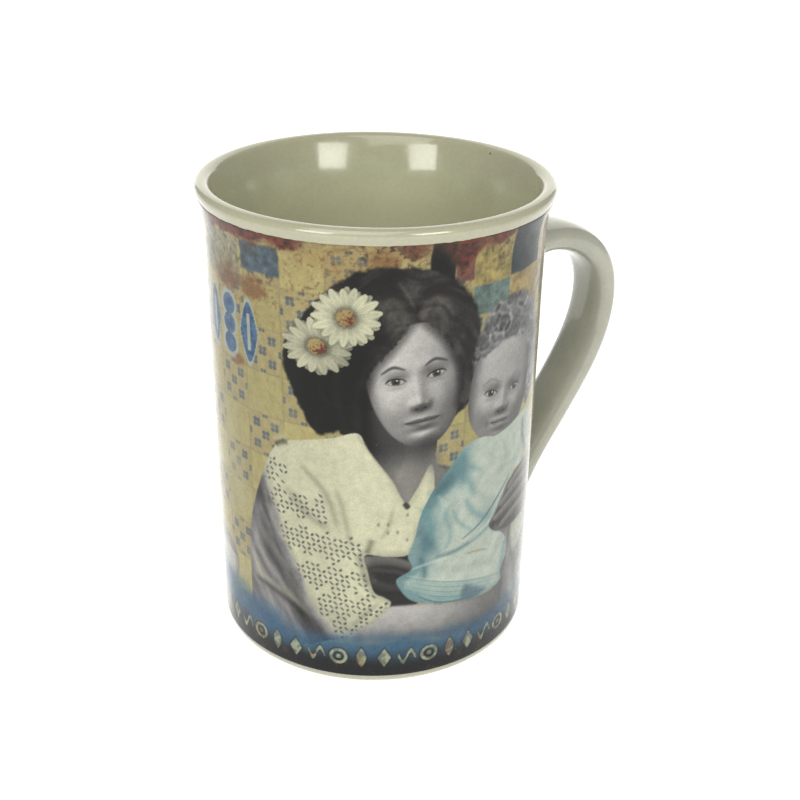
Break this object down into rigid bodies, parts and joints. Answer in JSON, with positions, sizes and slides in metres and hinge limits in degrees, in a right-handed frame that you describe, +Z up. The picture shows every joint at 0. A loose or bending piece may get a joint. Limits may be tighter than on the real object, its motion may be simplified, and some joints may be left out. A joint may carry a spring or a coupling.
{
  "type": "mug",
  "caption": "Tall straight-sided ceramic mug with a rolled, slightly flared lip, a looped strap handle and a printed picture wrap.",
  "frame": {"origin": "middle of the foot ring's flat, the face that the mug stands on", "axes": "+Z up along the mug's axis, +X towards the handle, +Y to the right of somebody who faces the handle's side from outside"},
  "size_m": [0.1059, 0.0796, 0.11],
  "materials": {
    "bare_clay": "fired stoneware, unglazed and matt",
    "slip": "fired slip, matt",
    "glaze": "glossy sage-cream glaze",
    "print": "glossy fired transfer print"
  },
  "bodies": {
    "root": {"mug_body": "bare_clay", "handle": "bare_clay", "handle_slip_upper": "slip", "handle_slip_lower": "slip", "inner_glaze": "glaze", "outer_glaze": "glaze", "handle_glaze": "glaze", "recess_glaze": "glaze", "printed_transfer": "print"}
  },
  "joints": []
}
